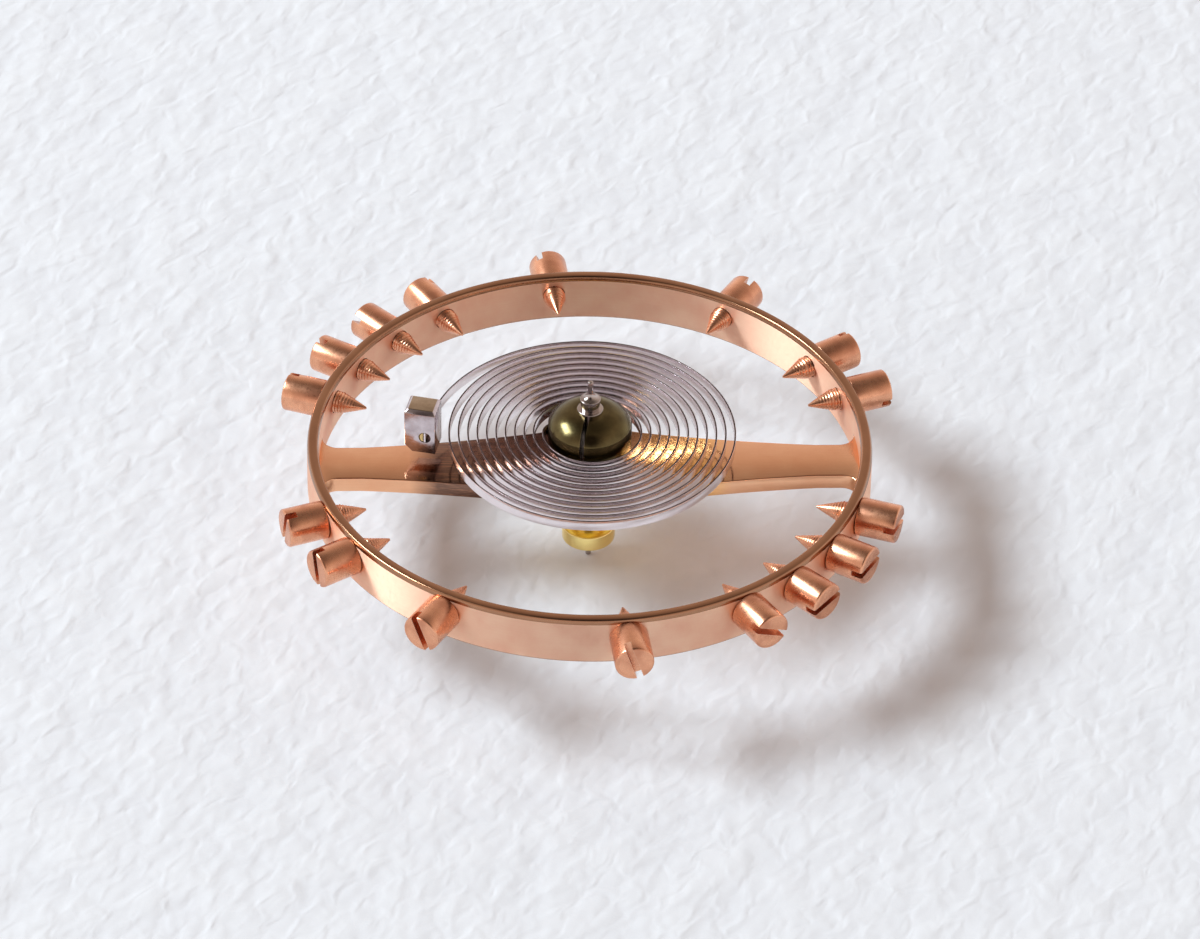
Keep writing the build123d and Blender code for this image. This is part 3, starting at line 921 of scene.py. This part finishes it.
# Double roller: a table with the jewel's hole, a neck, and the small disc with its passing notch
def jewel_bar(name, clearance, low, high, edge=0.0):
    """A draft of the jewel, a round bar with a flat towards +Y, larger by this clearance."""
    radius = jewel_radius + clearance
    flat = jewel_radius * jewel_flat_share
    turn = degrees(asin((flat + clearance) / radius))
    centre = (0, jewel_high.y - flat)
    shape = bmesh.new()
    outline = arc_points(centre, radius, 180 - turn, 180 + 2 * turn, jewel_round_steps)
    prism(shape, outline, low, high, edge)
    return draft(shape, name)


def make_roller():
    """The double roller."""
    edge = roller_edge_radius
    table_radius = roller_high.x
    table_bottom = roller_high.z - roller_table_thickness
    safety_top = roller_low.z + safety_roller_height
    bore = roller_seat_radius + seat_clearance
    outline = [
        (bore, roller_low.z, edge / 2),
        (safety_roller_radius, roller_low.z, edge),
        (safety_roller_radius, safety_top, edge),
        (roller_neck_radius, safety_top),
        (roller_neck_radius, table_bottom),
        (table_radius, table_bottom, edge),
        (table_radius, roller_high.z, edge),
        (bore, roller_high.z, edge / 2),
    ]
    shape = bmesh.new()
    lathe(shape, round_corners(outline), roller_segments, loop=True)
    roller = draft(shape, "double_roller_visual")
    notch = round_bar(
        passing_notch_radius, passing_notch_segments, roller_low.z - edge, safety_top + edge,
        Matrix.Translation((0, safety_roller_radius, 0)),
    )
    combine(roller, notch, "DIFFERENCE")
    hole = jewel_bar("hole", jewel_clearance, table_bottom - edge, roller_high.z + edge)
    combine(roller, hole, "DIFFERENCE")
    finish_piece(roller, "balance", (roller_material,))


def make_jewel():
    """The jewel pin, with its flat towards the rim."""
    jewel = jewel_bar("impulse_jewel_visual", 0.0, jewel_low.z, jewel_high.z, jewel_edge_radius)
    finish_piece(jewel, "balance", (ruby_material,))


# Hairspring's line, as arcs of (centre, radius, first angle, sweep)
spring_inner_reach = collet_radius + spring_collet_gap
spring_half_turns = 2 * spring_full_turns + 1
half_growth = spring_pitch / 2
quarter_growth = spring_pitch / 4
lower_centre = Vector((quarter_growth, 0, 0))
upper_centre = Vector((-quarter_growth, 0, 0))
spring_start = Vector((-spring_inner_reach, 0, 0))
collet_hole_offset = collet_radius - collet_hole_wall - pin_hole_radius
inner_bend_centre = spring_start + Vector((inner_bend_radius, 0, 0))
inner_bend_sweep = degrees(
    acos((collet_hole_offset - inner_bend_radius) / (spring_inner_reach - inner_bend_radius))
)
tail_angle = 180 - inner_bend_sweep
tail_way = direction(tail_angle + 90)
tail_side = direction(tail_angle)
tail_end = inner_bend_centre + direction(tail_angle) * inner_bend_radius
last_radius = spring_inner_reach + half_growth * spring_half_turns + quarter_growth
terminal_radius = last_radius + terminal_widening
terminal_centre = upper_centre - Vector((0, terminal_widening, 0))
terminal_angle = 90 + terminal_sweep
terminal_end = terminal_centre + direction(terminal_angle) * terminal_radius
terminal_way = direction(terminal_angle + 90)
stud_side = direction(terminal_angle + 180)
passage_end = terminal_end + terminal_way * stud_depth


def spring_line():
    """Stations along the strip: place, outward side, and the share of the winding done there."""
    arcs = [(inner_bend_centre, inner_bend_radius, tail_angle, inner_bend_sweep)]
    for index in range(spring_half_turns):
        centre = upper_centre if index % 2 else lower_centre
        radius = spring_inner_reach + quarter_growth + half_growth * index
        arcs.append((centre, radius, 180.0 * ((index + 1) % 2), 180.0))
    arcs.append((upper_centre, last_radius, 0.0, 90.0))
    arcs.append((terminal_centre, terminal_radius, 90.0, terminal_sweep))
    turning = sum(arc[3] for arc in arcs[1:])
    tail_start = tail_end - tail_way * inner_tail_length
    tail = spread(tail_start, tail_end, inner_tail_steps)[:-1]
    stations = [(place, tail_side, 0.0) for place in tail]
    done = 0.0
    for number, (centre, radius, first, sweep) in enumerate(arcs):
        for angle in spread(first, first + sweep, ceil(sweep / spring_step_angle))[:-1]:
            side = direction(angle)
            share = (done + angle - first) / turning if number else 0.0
            stations.append((centre + side * radius, side, share))
        if number:
            done += sweep
    passage = spread(terminal_end, passage_end, stud_passage_steps)
    return stations + [(place, -stud_side, 1.0) for place in passage]


def make_hairspring():
    """The strip, from the collet out to the stud."""
    half = strip_thickness / 2
    half_height = strip_height / 2
    edge = strip_edge_radius
    section = round_corners([
        (half, -half_height, edge), (half, half_height, edge),
        (-half, half_height, edge), (-half, -half_height, edge),
    ], strip_edge_steps)
    rows = []
    weights = []
    for place, side, share in spring_line():
        rows.append([place + side * x + up * (spring_level + y) for x, y in section])
        weights += [1.0 - share] * len(section)
    shape = bmesh.new()
    capped_skin(shape, rows)
    piece = draft(shape, "hairspring_visual")
    # Top and bottom faces of the strip take the near-black copy: painted shade
    for polygon in piece.data.polygons:
        if abs(polygon.normal.z) > strip_painted_shade_normal:
            polygon.material_index = 1
    dress(piece, (spring_material, spring_painted_shade_material), sharp_angle=50.0)
    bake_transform(piece)
    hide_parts("hairspring")


# Collet: a domed ring, slit down one side. Its columns end at the slit's walls.
def make_collet():
    """The collet with its slit and cross hole."""
    edge = collet_edge_radius
    bore = collet_seat_radius + seat_clearance
    dome_mid = (
        (collet_radius + bore) / 2 + collet_bulge,
        (collet_wall_top + collet_high.z) / 2 + collet_bulge,
    )
    wall_top = (collet_radius, collet_wall_top)
    dome = arc_through(wall_top, dome_mid, (bore, collet_high.z), collet_dome_steps)
    outline = [(bore, collet_low.z, edge / 2), (collet_radius, collet_low.z, edge), *dome]
    rows = []
    for radius, level in round_corners(outline):
        margin = degrees(asin(collet_slit_width / 2 / radius))
        first, last = collet_slit_angle + margin, collet_slit_angle + 360 - margin
        angles = spread(first, last, collet_columns)
        rows.append([direction(angle) * radius + up * level for angle in angles])
    shape = bmesh.new()
    rings = skin(shape, rows, wrap=False, loop=True)
    shape.faces.new([ring[0] for ring in rings])
    shape.faces.new([ring[-1] for ring in reversed(rings)])
    collet = draft(shape, "collet_visual")
    hole = cross_hole(tail_side * collet_hole_offset, tail_way, collet_radius)
    combine(collet, hole, "DIFFERENCE")
    finish_piece(collet, "balance", (collet_painted_shade_material,), sharp_angle=45.0)


def cross_hole(centre, way, reach):
    """A level round bar through this centre, to cut a hole for the strip."""
    place = placing(centre + up * spring_level, up, way)
    reach += cut_overrun
    return round_bar(pin_hole_radius, strip_hole_segments, -reach, reach, place)


def make_half_pin(node_name, body, end, way, side, length):
    """Pin with a flat on the strip's side. Its local Z runs along the hole."""
    radius = pin_hole_radius - pin_clearance
    flat = strip_thickness / 2 + pin_clearance
    turn = degrees(acos(flat / radius))
    outline = arc_points((0, 0), radius, -turn, 2 * turn, pin_round_steps)
    shape = bmesh.new()
    prism(shape, outline, 0.0, length, pin_edge_radius)
    pin = draft(shape, f"{node_name}_visual")
    place = placing(end - way * length + up * spring_level, side, way)
    finish_piece(pin, body, (pin_material,), place)


# Stud: local X points to the coils and local Y against the strip's way
def make_stud():
    """The block with its bevels and its cross hole."""
    middle = terminal_end + terminal_way * (stud_depth / 2)
    place = placing(middle - stud_side * stud_hole_offset + up * stud_low.z, stud_side, up)
    height = stud_high.z - stud_low.z
    shape = bmesh.new()
    bmesh.ops.create_cube(shape, size=1.0)
    for vert in shape.verts:
        vert.co.x *= stud_width
        vert.co.y *= stud_depth
        vert.co.z = (vert.co.z + 0.5) * height
    bevels = [(way, stud_top_bevel) for way in ((1, 0, 1), (-1, 0, 1), (0, 1, 1), (0, -1, 1))]
    bevels.append(((-1, 0, -1), stud_foot_bevel))
    for (x, y, z), bevel in bevels:
        corner = Vector((x * stud_width / 2, y * stud_depth / 2, height if z > 0 else 0))
        normal = Vector((x, y, z)).normalized()
        cut = bmesh.ops.bisect_plane(
            shape, geom=shape.verts[:] + shape.edges[:] + shape.faces[:],
            plane_co=corner - normal * bevel / sqrt(2), plane_no=normal, clear_outer=True,
        )
        edges = [item for item in cut["geom_cut"] if isinstance(item, bmesh.types.BMEdge)]
        bmesh.ops.edgenet_fill(shape, edges=edges)
    bmesh.ops.recalc_face_normals(shape, faces=shape.faces)
    bmesh.ops.bevel(
        shape, geom=shape.edges[:], offset=stud_edge_radius, segments=stud_edge_steps,
        profile=0.5, affect="EDGES",
    )
    stud = draft(shape, "stud_visual")
    hole = cross_hole(middle, terminal_way, stud_depth)
    hole.data.transform(place.inverted())
    combine(stud, hole, "DIFFERENCE")
    # Upward faces of the stud take the golden copy: painted reflection
    for polygon in stud.data.polygons:
        if polygon.normal.z > stud_painted_reflection_normal:
            polygon.material_index = 1
    finish_piece(stud, "spring_anchor", (stud_material, stud_top_painted_reflection_material), place)


make_wheel()
make_screws()
make_staff()
make_roller()
make_jewel()
make_hairspring()
make_collet()
make_half_pin("collet_pin", "balance", tail_end, tail_way, -tail_side, collet_pin_length)
make_stud()
make_half_pin("stud_pin", "spring_anchor", passage_end, terminal_way, -stud_side, stud_pin_length)

# Floor: white paper, whose fibrous grain mostly runs one way
floor_radius = 600.0
floor_segments = 96
paper_white = (0.86, 0.86, 0.88)
paper_shade = (0.82, 0.82, 0.845)
paper_grain_angle = 60.0
paper_grain_stretch = 1.45
paper_lump_size = 0.9
paper_lump_height = 0.17
paper_fibre_size = 0.32
paper_fibre_height = 0.08
paper_relief = 0.45


def make_paper_material():
    """Matt paper with soft lumps and fine fibres."""
    material, tree, shader = new_material("white_paper")
    place = node(tree, "ShaderNodeTexCoord").outputs["Object"]
    turned = {
        "Vector": place, "Rotation": (0, 0, radians(paper_grain_angle)),
        "Scale": (paper_grain_stretch, 1, 1),
    }
    grain = node(tree, "ShaderNodeMapping", turned, vector_type="TEXTURE").outputs["Vector"]
    lumps = noise(tree, grain, paper_lump_size, Detail=2.0, Roughness=0.55)
    fibres = noise(tree, grain, paper_fibre_size, Detail=0.7, Distortion=0.6)
    shade = mix_colours(tree, map_range(tree, lumps, 0.0, 1.0), paper_shade, paper_white)
    tree.links.new(shade, shader.inputs["Base Color"])
    coarse = bump(tree, lumps, paper_lump_height, Strength=paper_relief)
    fine = bump(tree, fibres, paper_fibre_height, Strength=paper_relief, Normal=coarse)
    tree.links.new(fine, shader.inputs["Normal"])
    shader.inputs["Roughness"].default_value = 0.95
    shader.inputs["Specular IOR Level"].default_value = 0.2
    return material


def make_floor():
    """A wide disc at the level of the lower pivot's tip."""
    shape = bmesh.new()
    skin(shape, [[up * 0], circle(floor_radius, floor_segments, 0)])
    floor = draft(shape, "paper_floor")
    for polygon in floor.data.polygons:
        if polygon.normal.z < 0:
            polygon.flip()
    floor.data.transform(Matrix.Scale(MM, 4))
    floor.data.materials.append(make_paper_material())


make_floor()

# Light: one large soft lamp from the left, and a room that the metal mirrors
lamp_azimuth = 172.0
lamp_elevation = 42.0
lamp_distance = 800.0
lamp_width = 420.0
lamp_height = 210.0
lamp_power = 6.3
lamp_colour = (0.86, 1.0, 1.09)
room_pale = (1.0, 0.93, 0.91)
room_warm = (0.61, 0.49, 0.42)
room_dark = (0.15, 0.12, 0.10)
room_stops = (0.10, 0.62, 0.95)
front_way = (0.0, -0.72, 0.69)
front_dark = (0.05, 0.035, 0.035)
front_spread = (0.88, 0.96)


def make_lamp():
    """The soft key lamp, which faces the wheel's middle."""
    light = bpy.data.lights.new("key_lamp", "AREA")
    light.shape = "RECTANGLE"
    light.size = lamp_width * MM
    light.size_y = lamp_height * MM
    light.energy = lamp_power
    light.color = lamp_colour
    lamp = add_object("key_lamp", light)
    way = direction(lamp_azimuth) * cos(radians(lamp_elevation)) + up * sin(radians(lamp_elevation))
    lamp.matrix_world = way.to_track_quat("Z", "Y").to_matrix().to_4x4()
    lamp.location = (way * lamp_distance + up * rim_top) * MM


def make_room():
    """World: pale at the horizon, darker overhead and dark at one place high in front."""
    world = bpy.data.worlds.new("pale_room")
    bpy.context.scene.world = world
    world.use_nodes = True
    tree = world.node_tree
    tree.nodes.clear()
    way = node(tree, "ShaderNodeTexCoord").outputs["Generated"]
    height = node(tree, "ShaderNodeSeparateXYZ", {"Vector": way}).outputs["Z"]
    low, middle, high = room_stops
    lower = mix_colours(tree, map_range(tree, height, 0.0, 1.0, low, middle), room_pale, room_warm)
    room = mix_colours(tree, map_range(tree, height, 0.0, 1.0, middle, high), lower, room_dark)
    likeness = vector_math(tree, "DOT_PRODUCT", way, Vector(front_way).normalized())
    front = map_range(tree, likeness, 0.0, 1.0, *front_spread)
    room = mix_colours(tree, front, room, front_dark)
    lit = node(tree, "ShaderNodeBackground", {"Color": room, "Strength": 1.0})
    node(tree, "ShaderNodeOutputWorld", {"Surface": lit.outputs["Background"]})


make_lamp()
make_room()

# Camera, fitted to the photograph: it looks down at the wheel from in front
camera_elevation = 38.58
camera_turn = 2.08
camera_roll = -0.94
camera_distance = 113.6
camera_lens = 192.7
sensor_width = 36.0
clip_near = 1.0
clip_far = 2000.0
aim_right = 0.181
aim_down = 0.529


def make_camera():
    """The camera, with the middle of the rim's top plane a little above the picture's middle."""
    data = bpy.data.cameras.new("camera")
    data.sensor_width = sensor_width
    data.lens = camera_lens
    data.clip_start = clip_near * MM
    data.clip_end = clip_far * MM
    camera = add_object("camera", data)
    turn, rise, roll = radians(camera_turn), radians(camera_elevation), radians(camera_roll)
    back = Vector((-sin(turn) * cos(rise), -cos(turn) * cos(rise), sin(rise)))
    level_right = Vector((cos(turn), -sin(turn), 0))
    level_up = back.cross(level_right)
    right = level_right * cos(roll) - level_up * sin(roll)
    upwards = level_up * cos(roll) + level_right * sin(roll)
    aim = up * rim_top + right * aim_right - upwards * aim_down
    camera.matrix_world = Matrix((right, upwards, back)).transposed().to_4x4()
    camera.location = (aim + back * camera_distance) * MM
    bpy.context.scene.camera = camera


make_camera()
bpy.context.scene.view_settings.view_transform = "Standard"
